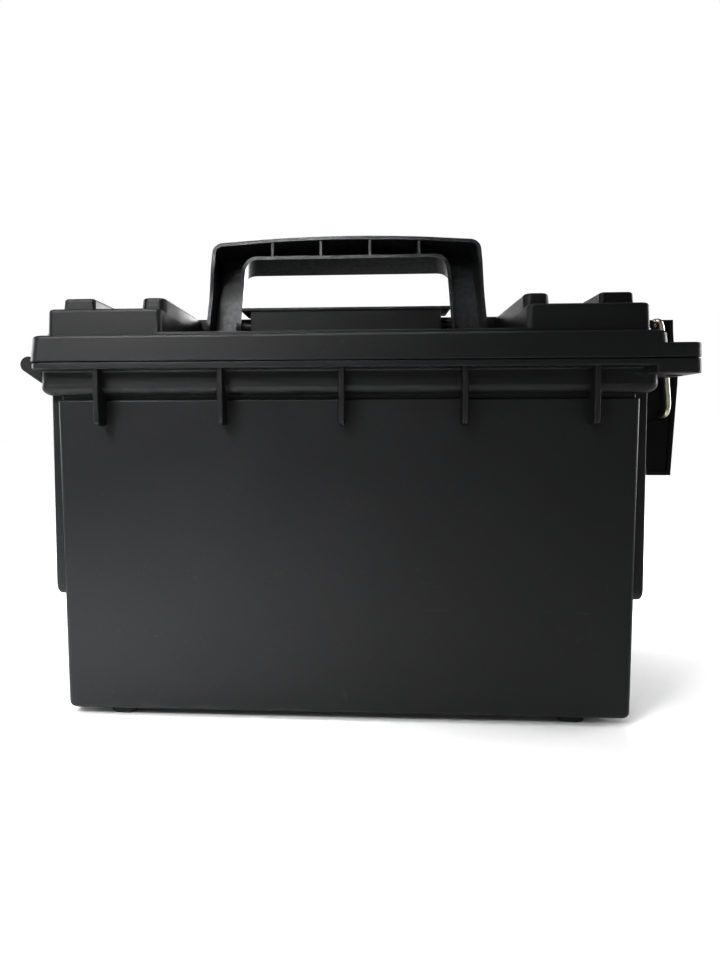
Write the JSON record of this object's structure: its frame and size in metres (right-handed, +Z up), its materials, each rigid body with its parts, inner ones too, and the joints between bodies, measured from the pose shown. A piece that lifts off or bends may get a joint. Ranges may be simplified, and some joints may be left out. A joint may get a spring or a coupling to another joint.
{
  "type": "hard battery case",
  "caption": "Hard carrying case for batteries: tapered tub, hinged lid with stacking ridges and folding handle, wire-bail latch with lever, padlock tabs.",
  "frame": {"origin": "on the floor, under the middle of the overall box of the closed case", "axes": "+Z up, +X from the hinge end to the latch end, +Y away from the side that the folded handle lies on"},
  "size_m": [0.3226, 0.16, 0.2468],
  "materials": {
    "tub_plastic": "fine moulded texture, satin",
    "lid_plastic": "fine moulded texture, satin",
    "handle_plastic": "smooth satin",
    "lever_plastic": "smooth satin",
    "seal_rubber": "soft rubber",
    "pin_steel": "drawn steel",
    "bail_wire": "plated spring wire"
  },
  "bodies": {
    "tub": {"tub": "tub_plastic", "hinge_pin": "pin_steel"},
    "lid": {"lid": "lid_plastic", "lid_seal": "seal_rubber", "handle_pin_left": "pin_steel", "handle_pin_right": "pin_steel"},
    "handle": {"carry_handle": "handle_plastic"},
    "bail": {"latch_bail": "bail_wire"},
    "lever": {"latch_lever": "lever_plastic"}
  },
  "joints": [
    {"name": "lid_hinge", "type": "hinge", "parent": "tub", "child": "lid", "pos_m": [-0.15757, 0, 0.1705], "axis": [0, -1, 0], "range_deg": [0, 110]},
    {"name": "handle_pivot", "type": "hinge", "parent": "lid", "child": "handle", "pos_m": [-0.00658, 0, 0.197], "axis": [1, 0, 0], "range_deg": [0, 98]},
    {"name": "bail_pivot", "type": "hinge", "parent": "tub", "child": "bail", "pos_m": [0.15423, 0, 0.1455], "axis": [0, 1, 0], "range_deg": [0, 16]},
    {"name": "lever_pivot", "type": "hinge", "parent": "bail", "child": "lever", "pos_m": [0.14993, 0, 0.1909], "axis": [0, -1, 0], "range_deg": [0, 120]}
  ]
}
